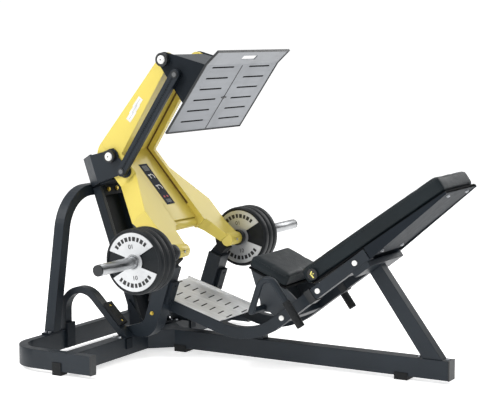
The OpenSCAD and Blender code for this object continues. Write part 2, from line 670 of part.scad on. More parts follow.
module back_badges() color("#0b0c0d") place() both() along(back_c, back_tilt)
    translate([back_u0 + 54, cushion_half_w + 0.5, -46]) rotate([-90, 0, 0]) cylinder(r = 24, h = 3);
// ---------- seat ----------
module seat_cushion() color("#25282b") place() along(seat_c, seat_tilt) intersection() {
    translate([0, cushion_half_w, 0]) rotate([90, 0, 0]) linear_extrude(2 * cushion_half_w)
        round_rect(0, -seat_t, seat_len, 0, 14);
    translate([0, 0, -seat_t - 1]) linear_extrude(seat_t + 2)
        round_rect(0, -cushion_half_w, seat_len, cushion_half_w, 30);
}
module seat_pan() color("#111214") place() along(seat_c, seat_tilt)
    box([8, -150, -seat_t - 9], [seat_len - 6, 150, -seat_t]);
function seat_pt(u, n) = seat_c + u * [cos(seat_tilt), sin(seat_tilt)]
    + n * [-sin(seat_tilt), cos(seat_tilt)];
module seat_brackets() color("#3a3f45") place() {
    both() xz(rail_in + 4, rail_in + 12) polygon([seat_pt(12, -65), seat_pt(198, -65), rail_pt(285, 25),
        rail_pt(153, 25), [400, 248], [356, 248], [352, 292]]);
    xz(-rail_in - 4, rail_in + 4)
        polygon([seat_pt(40, -65), seat_pt(60, -65), [424, 240], [412, 250]]);
}
// ---------- handles ----------
module one_handle() {
    translate([0, handle_y, 0]) rod_route(handle_pts, 42, handle_r);
    rod_y(handle_pts[0], handle_r, rail_in + 12, handle_y);
    translate([handle_pts[0][0], handle_y, handle_pts[0][1]]) sphere(r = handle_r + 0.15);
}
module handles() color("#16181b") place() both() one_handle();
module handle_grips() color("#0e0f10") place() both() {
    u = unit(handle_pts[2] - handle_pts[1]);
    a = handle_pts[2] - 118 * u;
    translate([a[0], handle_y, a[1]]) rotate([0, 90 - atan2(u[1], u[0]), 0]) difference() {
        cylinder(r = 17.5, h = 122);
        translate([0, 0, -1]) cylinder(r = handle_r + 0.02, h = 119.02);
    }
}

rear_base_tube();
front_cross_tube();
main_beam();
end_caps();
base_feet();
frame_bolts();
rear_arch();
base_brackets();
step_arches();
step_pads();
yellow_bolts();
column_flanges();
column_web();
column_plates();
head_bracket();
pivot_pins();
pivot_caps();
carriage_pins();
carriage_caps();
arm_flank_right();
arm_flank_left();
arm_panels();
arm_cross_tube();
arm_placard();
arm_bushings();
boss_screws();
sleeves();
sleeve_collars();
sleeve_caps();
plates_right();
plate_faces_right();
plates_left();
plate_faces_left();
link_bar();
carriage_sides();
carriage_cover();
carriage_ribs();
footplate();
footplate_frame();
stop_posts();
stop_bumpers();
post_brackets();
rail_right();
rail_left();
cross_members();
rail_caps();
rail_sleeves();
tread_plate();
rear_leg();
back_wings();
back_board();
back_cushion();
back_badges();
seat_cushion();
seat_pan();
seat_brackets();
handles();
handle_grips();
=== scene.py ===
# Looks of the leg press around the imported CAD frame: materials, upholstery, prints, light and camera.
import math

import bmesh
import bpy
from mathutils import Matrix, Vector
from mathutils.bvhtree import BVHTree


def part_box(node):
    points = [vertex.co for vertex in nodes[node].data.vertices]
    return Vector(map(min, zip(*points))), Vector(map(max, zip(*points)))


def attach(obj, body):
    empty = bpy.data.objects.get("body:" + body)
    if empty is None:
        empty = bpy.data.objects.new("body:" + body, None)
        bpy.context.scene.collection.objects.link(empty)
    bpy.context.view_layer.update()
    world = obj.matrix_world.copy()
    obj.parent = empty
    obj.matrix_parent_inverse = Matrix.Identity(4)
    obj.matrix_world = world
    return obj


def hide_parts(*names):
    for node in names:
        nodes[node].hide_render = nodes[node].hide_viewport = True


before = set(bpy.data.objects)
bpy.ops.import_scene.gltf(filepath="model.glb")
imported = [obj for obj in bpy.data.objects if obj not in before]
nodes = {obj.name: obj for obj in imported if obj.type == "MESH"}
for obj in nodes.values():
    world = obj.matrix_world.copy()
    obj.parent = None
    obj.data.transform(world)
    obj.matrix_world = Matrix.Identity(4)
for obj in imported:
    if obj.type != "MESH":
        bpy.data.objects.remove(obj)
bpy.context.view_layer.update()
scene = bpy.context.scene

# The CAD's middle lies this far along +X from the resting sleeve axis, from which part.scad measures.
MID = 0.29825
# Places and angles taken from the CAD, in metres and degrees.
BACK = {"origin": (0.620, 0.492), "tilt": 35.4}
SEAT = {"origin": (0.320, 0.494), "tilt": -23.0}
FOOT = {"origin": (-0.007, 1.002), "tilt": 55.7}
ARM_PIVOT = (-0.403, 0.8795)
CARRIAGE_PIVOT = (-0.1207, 1.3114)
SLEEVE_AXIS = (0.0, 0.491)
ARM_SIDE = 0.138
FLANK_IN = 0.1150
DISC_Y = 0.167
SIDES = (("right", -1), ("left", 1))


# ---------------------------------------------------------------- camera
def make_camera():
    data = bpy.data.cameras.new("camera")
    data.lens = 104.54
    data.sensor_width = 36.0
    camera = bpy.data.objects.new("camera", data)
    camera.location = (3.33264 - MID, -5.45347, 1.42110)
    camera.rotation_euler = (math.radians(83.2468), 0, math.radians(29.6835))
    scene.collection.objects.link(camera)
    scene.camera = camera


make_camera()


# ---------------------------------------------------------------- materials
class Shader:
    """A principled material and the few node patterns that every finish here is made from."""

    def __init__(self, name, color, roughness, metallic=0.0, **sockets):
        self.material = bpy.data.materials.new(name)
        self.material.use_nodes = True
        self.tree = self.material.node_tree
        self.bsdf = self.tree.nodes["Principled BSDF"]
        self.color = color
        self.bsdf.inputs["Base Color"].default_value = (*color, 1)
        self.bsdf.inputs["Roughness"].default_value = roughness
        self.bsdf.inputs["Metallic"].default_value = metallic
        for socket, value in sockets.items():
            self.bsdf.inputs[socket.replace("_", " ")].default_value = value
        self.coords = self.tree.nodes.new("ShaderNodeTexCoord").outputs["Object"]
        self.normal = None

    def node(self, kind, **values):
        made = self.tree.nodes.new("ShaderNode" + kind)
        for key, value in values.items():
            if hasattr(made, key):
                setattr(made, key, value)
            else:
                made.inputs[key.replace("_", " ")].default_value = value
        return made

    def link(self, output, target):
        self.tree.links.new(output, target)

    def noise(self, scale, detail=3.0, stretch=(1, 1, 1)):
        mapping = self.node("Mapping")
        mapping.inputs["Scale"].default_value = stretch
        self.link(self.coords, mapping.inputs["Vector"])
        texture = self.node("TexNoise", Scale=scale, Detail=detail)
        self.link(mapping.outputs["Vector"], texture.inputs["Vector"])
        return texture.outputs["Fac"]

    def voronoi(self, scale, feature="F1"):
        texture = self.node("TexVoronoi", feature=feature, Scale=scale)
        self.link(self.coords, texture.inputs["Vector"])
        return texture.outputs["Distance"]

    def ramp(self, source, low, high, stops=(0.3, 0.7)):
        ramp = self.node("ValToRGB")
        ramp.color_ramp.elements[0].position, ramp.color_ramp.elements[1].position = stops
        ramp.color_ramp.elements[0].color = (*low, 1)
        ramp.color_ramp.elements[1].color = (*high, 1)
        self.link(source, ramp.inputs["Fac"])
        return ramp.outputs["Color"]

    def vary_color(self, source, spread):
        low = [c * (1 - spread) for c in self.color]
        high = [min(1.0, c * (1 + spread)) for c in self.color]
        self.link(self.ramp(source, low, high), self.bsdf.inputs["Base Color"])
        return self

    def speck(self, source, color, stops):
        """Lays another colour over the base where source is high, such as scuffs or dust."""
        mix = self.node("Mix", data_type="RGBA")
        base = self.bsdf.inputs["Base Color"]
        if base.links:
            self.link(base.links[0].from_socket, mix.inputs[6])
        else:
            mix.inputs[6].default_value = (*self.color, 1)
        mix.inputs[7].default_value = (*color, 1)
        self.link(self.ramp(source, (0, 0, 0), (1, 1, 1), stops), mix.inputs[0])
        self.link(mix.outputs[2], base)
        return self

    def vary_roughness(self, source, low, high):
        spread = self.node("MapRange")
        spread.inputs["To Min"].default_value = low
        spread.inputs["To Max"].default_value = high
        self.link(source, spread.inputs["Value"])
        self.link(spread.outputs["Result"], self.bsdf.inputs["Roughness"])
        return self

    def bump(self, source, distance, strength=0.5):
        bump = self.node("Bump", Distance=distance, Strength=strength)
        self.link(source, bump.inputs["Height"])
        if self.normal is not None:
            self.link(self.normal, bump.inputs["Normal"])
        self.normal = bump.outputs["Normal"]
        self.link(self.normal, self.bsdf.inputs["Normal"])
        return self

    def round_edges(self, radius):
        bevel = self.node("Bevel", Radius=radius, samples=4)
        self.normal = bevel.outputs["Normal"]
        self.link(self.normal, self.bsdf.inputs["Normal"])
        return self


def powder_coat(name, color, edge, roughness=0.42, gloss=0.30):
    s = Shader(name, color, roughness, Specular_IOR_Level=gloss)
    s.round_edges(edge)
    s.vary_color(s.noise(5, 4), 0.14)
    s.vary_roughness(s.noise(38, 5), roughness - 0.07, roughness + 0.10)
    s.speck(s.noise(170, 6), [c * 1.9 + 0.01 for c in color], (0.70, 0.76))
    return s.bump(s.noise(900, 2), 0.00025, 0.35).material


def yellow_paint():
    s = Shader("yellow_paint", (0.680, 0.550, 0.105), 0.38, Coat_Weight=0.12, Coat_Roughness=0.16)
    s.round_edges(0.003)
    s.vary_color(s.noise(3, 3), 0.045)
    s.vary_roughness(s.noise(60, 4), 0.30, 0.46)
    s.speck(s.noise(210, 6), (0.59, 0.47, 0.09), (0.71, 0.77))
    return s.bump(s.noise(520, 2), 0.00022, 0.30).material


def brushed(name, color, stretch, roughness, scale=60, metallic=1.0, relief=0.00012):
    s = Shader(name, color, roughness, metallic=metallic, Anisotropic=0.45)
    lines = s.noise(scale, 5, stretch)
    s.vary_color(lines, 0.10)
    s.vary_roughness(lines, roughness - 0.08, roughness + 0.12)
    s.speck(s.noise(9, 5), [c * 0.86 for c in color], (0.50, 0.75))
    return s.bump(lines, relief, 0.25).material


def rubber(name, color, roughness, grain=650):
    s = Shader(name, color, roughness, Specular_IOR_Level=0.24)
    s.vary_color(s.noise(14, 4), 0.30)
    s.vary_roughness(s.noise(48, 4), roughness - 0.10, roughness + 0.10)
    s.speck(s.noise(120, 6), (0.030, 0.030, 0.030), (0.68, 0.76))
    return s.bump(s.noise(grain, 3), 0.0003, 0.4).material


def moulded(name, color, roughness, gloss=0.5):
    s = Shader(name, color, roughness, Specular_IOR_Level=gloss)
    s.vary_color(s.noise(20, 3), 0.10)
    s.vary_roughness(s.noise(85, 4), roughness - 0.06, roughness + 0.10)
    return s.bump(s.noise(1400, 2), 0.00012, 0.35).material


def vinyl():
    s = Shader("upholstery_vinyl", (0.0035, 0.0078, 0.0105), 0.46, Specular_IOR_Level=0.24)
    s.vary_color(s.noise(7, 4), 0.16)
    s.vary_roughness(s.noise(30, 4), 0.38, 0.56)
    s.bump(s.noise(16, 3), 0.0012, 0.25)
    s.bump(s.voronoi(520), 0.0004, 0.45)
    return s.bump(s.voronoi(1250, "DISTANCE_TO_EDGE"), 0.00022, 0.4).material


def silver_face():
    s = Shader("plate_silver", (0.60, 0.61, 0.62), 0.38, metallic=0.75)
    s.vary_color(s.noise(11, 4), 0.07)
    s.vary_roughness(s.noise(70, 4), 0.30, 0.48)
    s.speck(s.noise(150, 6), (0.34, 0.34, 0.35), (0.69, 0.76))
    return s.bump(s.noise(1100, 3), 0.0002, 0.35).material


def bronze():
    s = Shader("bronze", (0.46, 0.31, 0.12), 0.38, metallic=1.0)
    s.vary_color(s.noise(120, 4), 0.2)
    return s.bump(s.noise(1500, 2), 0.0001, 0.4).material


def board():
    s = Shader("painted_board", (0.0035, 0.0038, 0.0045), 0.75, Specular_IOR_Level=0.08)
    s.vary_color(s.noise(30, 4, (1, 8, 1)), 0.35)
    return s.bump(s.noise(160, 4, (1, 9, 1)), 0.0004, 0.5).material


MATERIALS = {
    "black_frame": powder_coat("black_powder_coat", (0.0095, 0.0145, 0.0205), 0.0045),
    "black_plate": powder_coat("black_plate_coat", (0.0070, 0.0105, 0.0150), 0.0015, 0.56, 0.14),
    "grey_plate": powder_coat("grey_plate_coat", (0.032, 0.038, 0.045), 0.0015),
    "yellow": yellow_paint(),
    "footplate": brushed("footplate_steel", (0.200, 0.210, 0.225), (1, 0.03, 1), 0.30, relief=0.00002),
    "tread": brushed("tread_steel", (0.80, 0.81, 0.82), (0.03, 1, 1), 0.52, metallic=0.55),
    "sleeve": brushed("sleeve_chrome", (0.42, 0.43, 0.44), (1, 0.02, 1), 0.28, scale=220),
    "zinc": brushed("zinc_bolts", (0.58, 0.60, 0.63), (1, 1, 1), 0.32, scale=420),
    "pin_steel": brushed("pin_steel", (0.20, 0.205, 0.21), (1, 1, 1), 0.38, scale=300),
    "rubber": rubber("black_rubber", (0.006, 0.007, 0.008), 0.62),
    "plate_rubber": rubber("plate_rubber", (0.006, 0.008, 0.010), 0.46, grain=420),
    "grip": rubber("grip_rubber", (0.005, 0.006, 0.007), 0.55, grain=900),
    "black_plastic": moulded("black_plastic", (0.010, 0.012, 0.014), 0.42),
    "white_plastic": moulded("white_plastic", (0.78, 0.78, 0.76), 0.34),
    "yellow_zinc": brushed("yellow_zinc", (0.62, 0.47, 0.10), (1, 1, 1), 0.34, scale=420),
    "silver": silver_face(),
    "bronze": bronze(),
    "vinyl": vinyl(),
    "board": board(),
    "placard": moulded("placard_film", (0.008, 0.012, 0.024), 0.52, 0.12),
    # Painted shade: a matte black sheet for the shade seen inside the slots.
    "slot_painted_shade": moulded("slot_painted_shade", (0.004, 0.004, 0.005), 0.80, 0.05),
    "print_white": moulded("print_white", (0.72, 0.72, 0.72), 0.40),
    "print_grey": moulded("print_grey", (0.20, 0.22, 0.24), 0.40),
    "print_red": moulded("print_red", (0.50, 0.03, 0.03), 0.40),
    "print_yellow": moulded("print_yellow", (0.80, 0.72, 0.18), 0.36),
    "print_black": moulded("print_black", (0.010, 0.010, 0.011), 0.45),
    # Painted shade: a brown sheet for the shade on the flanks' inner walls beside the recessed front panel.
    "groove_painted_shade": moulded("groove_painted_shade", (0.11, 0.060, 0.018), 0.50),
}
FINISHES = {
    "black_frame": ["rear_base_tube", "front_cross_tube", "main_beam", "rear_arch", "step_arches",
                    "column_flanges", "head_bracket", "link_bar", "stop_posts", "rail_right", "rail_left",
                    "cross_members", "rear_leg", "handles"],
    "black_plate": ["base_brackets", "column_web", "column_plates", "carriage_sides", "carriage_ribs",
                    "post_brackets", "back_wings"],
    "grey_plate": ["carriage_cover", "seat_brackets"],
    "yellow": ["arm_flank_right", "arm_flank_left", "arm_panels", "arm_cross_tube"],
    "footplate": ["footplate"],
    "tread": ["tread_plate"],
    "sleeve": ["sleeves"],
    "pin_steel": ["pivot_pins", "carriage_pins"],
    "zinc": ["frame_bolts", "boss_screws"],
    "rubber": ["base_feet", "step_pads", "stop_bumpers"],
    "plate_rubber": ["plates_right", "plates_left"],
    "silver": ["plate_faces_right", "plate_faces_left"],
    "grip": ["handle_grips"],
    "black_plastic": ["end_caps", "pivot_caps", "carriage_caps", "sleeve_collars", "sleeve_caps",
                      "footplate_frame", "rail_sleeves", "back_badges"],
    "white_plastic": ["rail_caps"],
    "bronze": ["arm_bushings"],
    "board": ["back_board", "seat_pan"],
    "placard": ["arm_placard"],
    "yellow_zinc": ["yellow_bolts"],
}
# Nodes whose edges stay as cut: turned and bent pieces, bolts, the silver rings and the placard.
PLAIN_EDGES = {"arm_bushings", "plate_faces_right", "plate_faces_left", "plates_right", "plates_left",
               "handles", "arm_placard", "frame_bolts", "yellow_bolts", "boss_screws"}
EDGE_WIDTH = 0.0009
WELD_DISTANCE = 0.00002


def wear(obj, finish):
    """Gives a CAD node one of the finishes."""
    for cut in obj.material_slots:
        cut.material = MATERIALS[finish]
    if not obj.material_slots:
        obj.data.materials.append(MATERIALS[finish])


def soften_edges(obj):
    """Rounds a CAD node's sharp edges a little, so that they catch the light."""
    weld = obj.modifiers.new("weld", "WELD")
    weld.merge_threshold = WELD_DISTANCE
    bevel = obj.modifiers.new("edges", "BEVEL")
    bevel.width = EDGE_WIDTH
    bevel.segments = 2
    bevel.limit_method = "ANGLE"
    bevel.angle_limit = math.radians(38)
    bevel.harden_normals = True


def dress_frame():
    for finish, names in FINISHES.items():
        for name in names:
            wear(nodes[name], finish)
            if name not in PLAIN_EDGES:
                soften_edges(nodes[name])


dress_frame()


# ---------------------------------------------------------------- building blocks
def at(point, y=0.0):
    """A point of the x-z plane, measured from the resting sleeve axis, as a place in the shared frame."""
    return Vector((point[0] - MID, y, point[1]))


def plane_frame(origin, tilt):
    """Matrix whose x runs along a slope in the x-z plane, y across the machine and z square to the slope."""
    return Matrix.Translation(at(origin)) @ Matrix.Rotation(-math.radians(tilt), 4, "Y")


def add_mesh(name, mesh, finish, body, smooth=False):
    """Shows a mesh as a piece with a finish, on a body of the frame."""
    obj = bpy.data.objects.new(name, mesh)
    scene.collection.objects.link(obj)
    mesh.materials.clear()
    mesh.materials.append(MATERIALS[finish])
    mesh.polygons.foreach_set("use_smooth", [smooth] * len(mesh.polygons))
    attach(obj, body)


def from_bmesh(bm, matrix=None):
    """Ends a mesh under construction, with its faces turned outwards."""
    if matrix is not None:
        bm.transform(matrix)
    bmesh.ops.recalc_face_normals(bm, faces=bm.faces)
    mesh = bpy.data.meshes.new("mesh")
    bm.to_mesh(mesh)
    bm.free()
    return mesh


def slab(outline, thickness, matrix):
    """A flat plate from an outline in the local x-y plane, rising along local z."""
    bm = bmesh.new()
    face = bm.faces.new([bm.verts.new((x, y, 0)) for x, y in outline])
    raised = bmesh.ops.extrude_face_region(bm, geom=[face])
    for v in raised["geom"]:
        if isinstance(v, bmesh.types.BMVert):
            v.co.z += thickness
    return from_bmesh(bm, matrix)


def rounded(x0, y0, x1, y1, radius, steps=5):
    """Outline of a rectangle with round corners."""
    points = []
    for cx, cy, start in ((x1 - radius, y1 - radius, 0), (x0 + radius, y1 - radius, 90),
                          (x0 + radius, y0 + radius, 180), (x1 - radius, y0 + radius, 270)):
        for i in range(steps + 1):
            a = math.radians(start + 90 * i / steps)
            points.append((cx + radius * math.cos(a), cy + radius * math.sin(a)))
    return points


def sector(inner, outer, start, end, steps):
    """Outline of a ring sector, angles in degrees."""
    angles = [math.radians(start + (end - start) * i / steps) for i in range(steps + 1)]
    return [(outer * math.cos(a), outer * math.sin(a)) for a in angles] + [
        (inner * math.cos(a), inner * math.sin(a)) for a in reversed(angles)]


def open_disc(radius, steps, end=345):
    """Outline of a disc, open by a thin wedge from the end angle to a full turn."""
    return sector(0.0, radius, 0, end, steps)


def bar(x, width, y0, y1):
    """Outline of an upright bar whose left edge is at x."""
    return [(x, y0), (x + width, y0), (x + width, y1), (x, y1)]


def side_matrix(centre, y, side, turn=0.0):
    """Local x along +X, local z pointing out of the machine's side: side -1 is -Y, 1 is +Y."""
    face = Matrix.Rotation(math.radians(-90 * side), 4, "X")
    return Matrix.Translation(at(centre, y)) @ face @ Matrix.Rotation(math.radians(turn), 4, "Z")


def lathe(profile, matrix, steps=48):
    """Turns (radius, height) points about local z."""
    bm = bmesh.new()
    rings = []
    for radius, height in profile:
        if radius == 0:
            rings.append([bm.verts.new((0, 0, height))] * steps)
            continue
        angles = [2 * math.pi * i / steps for i in range(steps)]
        rings.append([bm.verts.new((radius * math.cos(a), radius * math.sin(a), height)) for a in angles])
    for low, high in zip(rings, rings[1:]):
        for i in range(steps):
            j = (i + 1) % steps
            corners = list(dict.fromkeys([low[i], low[j], high[j], high[i]]))
            if len(corners) > 2:
                bm.faces.new(corners)
    return from_bmesh(bm, matrix)


def evaluated_mesh(obj):
    """A new mesh of the object as its modifiers or curve settings leave it."""
    bpy.context.view_layer.update()
    return bpy.data.meshes.new_from_object(obj.evaluated_get(bpy.context.evaluated_depsgraph_get()))


def apply_modifiers(obj):
    """Makes what the modifiers do part of the object's own mesh."""
    mesh = evaluated_mesh(obj)
    obj.modifiers.clear()
    obj.data = mesh


def curve_mesh(curve):
    """The mesh of a curve or text, which isn't itself kept in the scene."""
    holder = bpy.data.objects.new("holder", curve)
    scene.collection.objects.link(holder)
    mesh = evaluated_mesh(holder)
    bpy.data.objects.remove(holder)
    return mesh


def tube(points, radius, closed=True):
    """A thin round tube along points, as a mesh."""
    curve = bpy.data.curves.new("tube", "CURVE")
    curve.dimensions = "3D"
    curve.bevel_depth = radius
    curve.bevel_resolution = 2
    spline = curve.splines.new("POLY")
    spline.points.add(len(points) - 1)
    for spline_point, p in zip(spline.points, points):
        spline_point.co = (*p, 1)
    spline.use_cyclic_u = closed
    return curve_mesh(curve)


def joined(meshes):
    """One mesh made of several."""
    bm = bmesh.new()
    for mesh in meshes:
        bm.from_mesh(mesh)
    return from_bmesh(bm)


def text_mesh(words, size, depth, matrix):
    """Raised characters standing on the local x-y plane."""
    curve = bpy.data.curves.new("digits", "FONT")
    curve.body = words
    curve.size = size
    curve.extrude = depth / 2
    curve.align_x, curve.align_y = "CENTER", "CENTER"
    mesh = curve_mesh(curve)
    mesh.transform(matrix @ Matrix.Translation((0, 0, depth / 2)))
    return mesh


# ---------------------------------------------------------------- upholstery
# A pad starts this much inside its CAD solid, where its seams run too, and swells by up to the cap.
PAD_INSET = 0.004
PAD_FOOT = 0.001
PAD_CORNER = 0.013
PAD_VOXEL = 0.0055
SWELL_CAP = 0.005
SETTLE_FRAMES = 20
# The seam's corner radius, each cord's distance from the pad's top or foot, and the cords' radii.
SEAM_CORNER = 0.016
TOP_WELT = {"depth": 0.009, "radius": 0.0013}
FOOT_WELT = {"rise": 0.010, "radius": 0.0009}
STITCH = {"depth": 0.0135, "radius": 0.0006, "spacing": 0.012}


def rounded_block(low, high, radius):
    """A box between two corners, with every edge rounded."""
    bm = bmesh.new()
    bmesh.ops.create_cube(bm, size=1)
    size = [h - l for l, h in zip(low, high)]
    for v in bm.verts:
        v.co = Vector([l + s * (c + 0.5) for l, s, c in zip(low, size, v.co)])
    bmesh.ops.bevel(bm, geom=bm.edges[:], offset=radius, segments=5, profile=0.5, affect="EDGES")
    return from_bmesh(bm)


def inflate(obj, cap):
    """Swells the pad by cloth pressure, then limits how far each point moved."""
    before = [v.co.copy() for v in obj.data.vertices]
    cloth = obj.modifiers.new("cloth", "CLOTH")
    cloth.settings.use_pressure = True
    cloth.settings.uniform_pressure_force = 4.0
    cloth.settings.tension_stiffness = 30
    cloth.settings.compression_stiffness = 30
    cloth.settings.bending_stiffness = 4
    cloth.settings.effector_weights.gravity = 0
    for number in range(1, SETTLE_FRAMES + 1):
        scene.frame_set(number)
    moved = obj.evaluated_get(bpy.context.evaluated_depsgraph_get()).to_mesh()
    after = [v.co.copy() for v in moved.vertices]
    obj.modifiers.remove(cloth)
    for v, a, b in zip(obj.data.vertices, before, after):
        step = b - a
        v.co = a + step * min(1.0, cap / max(step.length, 1e-9))
    scene.frame_set(1)


def surface_loop(pad, outline, height):
    """Points of an outline in the pad's own plane, dropped on its nearest surface."""
    tree = BVHTree.FromObject(pad, bpy.context.evaluated_depsgraph_get())
    found = []
    for (x0, y0), (x1, y1) in zip(outline, outline[1:] + outline[:1]):
        steps = max(1, int(math.hypot(x1 - x0, y1 - y0) / STITCH["spacing"]))
        for i in range(steps):
            p = Vector((x0 + (x1 - x0) * i / steps, y0 + (y1 - y0) * i / steps, height))
            found.append(tree.find_nearest(p)[0])
    return found


def crown_top(mesh, low, high, crown):
    """Raises the middle of the pad's top, and keeps every point within the pad's height."""
    half = [(h - l) / 2 for l, h in zip(low, high)]
    middle = [(h + l) / 2 for l, h in zip(low, high)]
    for v in mesh.vertices:
        u = (v.co.x - middle[0]) / half[0]
        w = (v.co.y - middle[1]) / half[1]
        rise = max(0.0, (v.co.z - middle[2]) / half[2])
        v.co.z += crown * rise * max(0.0, 1 - u * u) * max(0.0, 1 - w * w)
        v.co.z = min(max(v.co.z, low[2]), high[2] + crown)


def make_foam(name, low, high, crown):
    """The pad's own body, in its own plane: a rounded block, remeshed, swollen, crowned and smoothed."""
    inner_low = [low[0] + PAD_INSET, low[1] + PAD_INSET, low[2] + PAD_FOOT]
    inner_high = [v - PAD_INSET for v in high]
    pad = bpy.data.objects.new(name, rounded_block(inner_low, inner_high, PAD_CORNER))
    scene.collection.objects.link(pad)
    remesh = pad.modifiers.new("remesh", "REMESH")
    remesh.mode = "VOXEL"
    remesh.voxel_size = PAD_VOXEL
    apply_modifiers(pad)
    inflate(pad, SWELL_CAP)
    crown_top(pad.data, low, high, crown)
    smooth = pad.modifiers.new("smooth", "SMOOTH")
    smooth.factor = 0.5
    smooth.iterations = 4
    subdivide = pad.modifiers.new("subdivide", "SUBSURF")
    subdivide.levels = subdivide.render_levels = 1
    apply_modifiers(pad)
    return pad


def make_pad(name, place, low, high, node, crown):
    """A firm foam pad in grained vinyl: welt and stitches round its top, and a thinner welt at its foot."""
    pad = make_foam(name, low, high, crown)
    mesh = pad.data
    ring = rounded(low[0] + PAD_INSET, low[1] + PAD_INSET, high[0] - PAD_INSET, high[1] - PAD_INSET,
                   SEAM_CORNER)
    welts = [tube(surface_loop(pad, ring, high[2] - TOP_WELT["depth"]), TOP_WELT["radius"]),
             tube(surface_loop(pad, ring, low[2] + FOOT_WELT["rise"]), FOOT_WELT["radius"])]
    stitches = stitch_row(pad, ring, high[2] - STITCH["depth"])
    matrix = plane_frame(place["origin"], place["tilt"])
    for made in (mesh, *welts, stitches):
        made.transform(matrix)
    mesh.materials.clear()
    mesh.materials.append(MATERIALS["vinyl"])
    mesh.polygons.foreach_set("use_smooth", [True] * len(mesh.polygons))
    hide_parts(node)
    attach(pad, "frame")
    add_mesh(name + "_welt", joined(welts), "vinyl", "frame", smooth=True)
    add_mesh(name + "_stitches", stitches, "print_black", "frame", smooth=True)


def stitch_row(pad, ring, height):
    """Short raised stitches that follow the top welt, each half a step long."""
    points = surface_loop(pad, ring, height)
    dashes = []
    for a, b in zip(points, points[1:]):
        dashes.append(tube([a, a.lerp(b, 0.5)], STITCH["radius"], closed=False))
    return joined(dashes)


def make_upholstery():
    make_pad("back_pad", BACK, low=(-0.092, -0.165, -0.072), high=(0.660, 0.165, 0.0),
             node="back_cushion", crown=0.006)
    make_pad("seat_pad", SEAT, low=(0.0, -0.165, -0.056), high=(0.205, 0.165, 0.0),
             node="seat_cushion", crown=0.004)


make_upholstery()


# ---------------------------------------------------------------- prints and trim
def make_badges():
    """Black domed badges with a plain yellow mark on both sides of the backrest's low end."""
    along, down = -0.038, -0.046
    badge_y, mark_depth = 0.1685, 0.0016
    rim = [(0.0225, -0.002), (0.0235, 0.0004), (0.0215, 0.0014), (0.0195, 0.0006), (0.0, 0.0008)]
    tilt = math.radians(BACK["tilt"])
    centre = (BACK["origin"][0] + along * math.cos(tilt) - down * math.sin(tilt),
              BACK["origin"][1] + along * math.sin(tilt) + down * math.cos(tilt))
    stroke = [(-0.010, -0.002), (-0.004, 0.014), (0.001, 0.014), (-0.004, -0.001)]
    hook = [(-0.006, -0.004), (0.006, -0.015), (0.010, -0.012), (0.000, 0.000)]
    for name, side in SIDES:
        face = side_matrix(centre, side * badge_y, side)
        dot_face = face @ Matrix.Translation((0.006, 0.004, 0))
        mark = [slab(stroke, mark_depth, face), slab(hook, mark_depth, face),
                slab(open_disc(0.0028, 12, 340), mark_depth, dot_face)]
        add_mesh(f"badge_rim_{name}", lathe(rim, face), "print_black", "frame", smooth=True)
        add_mesh(f"badge_mark_{name}", joined(mark), "print_yellow", "frame")


def make_pivot_discs():
    """White domed covers with a small black centre over each main pivot."""
    profile = [(0.0, 0.0062), (0.0100, 0.0058), (0.0160, 0.0042), (0.0188, 0.0016), (0.0192, 0.0)]
    dot = [(0.0, 0.0072), (0.0028, 0.0070), (0.0036, 0.0056)]
    seat_depth = 0.0045
    for body, centre in (("frame", ARM_PIVOT), ("carriage", CARRIAGE_PIVOT)):
        for name, side in SIDES:
            face = side_matrix(centre, side * (DISC_Y + seat_depth), side)
            add_mesh(f"pivot_disc_{body}_{name}", lathe(profile, face), "white_plastic", body,
                     smooth=True)
            add_mesh(f"pivot_dot_{body}_{name}", lathe(dot, face), "print_black", body,
                     smooth=True)


def make_plate_prints():
    """Weight numbers and a plain ring of marks on both sides of each stack."""
    # Where each stack starts and ends across the machine, as the CAD places it at rest.
    stacks = {"stack_right": (-0.578, -0.458), "stack_left": (0.296, 0.416)}
    print_sink, hub_sink, print_depth = 0.0015, 0.004, 0.0008
    number_radius, number_size = 0.066, 0.026
    ring_inner, ring_outer = 0.088, 0.106
    mark_count, mark_pitch = 9, 11.5
    wide_half, narrow_half = 4.2, 3.2
    tilt = 9
    hub = [(0.0252, 0.0), (0.0252, 0.0036), (0.0300, 0.0040), (0.0330, 0.0028)]
    upturned = Matrix.Translation((0, number_radius, 0)) @ Matrix.Rotation(math.pi, 4, "Z")
    for body, (low, high) in stacks.items():
        marks = []
        for y, side in ((low + print_sink, -1), (high - print_sink, 1)):
            for flip in (0, 180):
                face = side_matrix(SLEEVE_AXIS, y, side, flip - side * tilt)
                marks.append(text_mesh("10", number_size, print_depth, face @ upturned))
                for i in range(mark_count):
                    middle = 90 + (i - mark_count // 2) * mark_pitch
                    half = wide_half if i % 2 else narrow_half
                    arc = sector(ring_inner, ring_outer, middle - half, middle + half, 6)
                    marks.append(slab(arc, print_depth, face))
        add_mesh(f"{body}_marks", joined(marks), "print_black", body)
        hubs = [lathe(hub, side_matrix(SLEEVE_AXIS, y, side))
                for y, side in ((low + hub_sink, -1), (high - hub_sink, 1))]
        add_mesh(f"{body}_hub_rings", joined(hubs), "sleeve", body, smooth=True)


def make_footplate_mark():
    """A small plain disc with a bar across it, on the footplate's centre line."""
    along, bar_depth, spot_depth = 0.176, 0.0016, 0.0018
    face = plane_frame(FOOT["origin"], FOOT["tilt"]) @ Matrix.Translation((along, 0, 0))
    face = face @ Matrix.Rotation(math.pi, 4, "X")
    across = slab(bar(-0.003, 0.006, -0.020, 0.020), bar_depth, face)
    spot = slab(open_disc(0.008, 20), spot_depth, face)
    add_mesh("footplate_mark", joined([across, spot]), "print_black", "carriage")


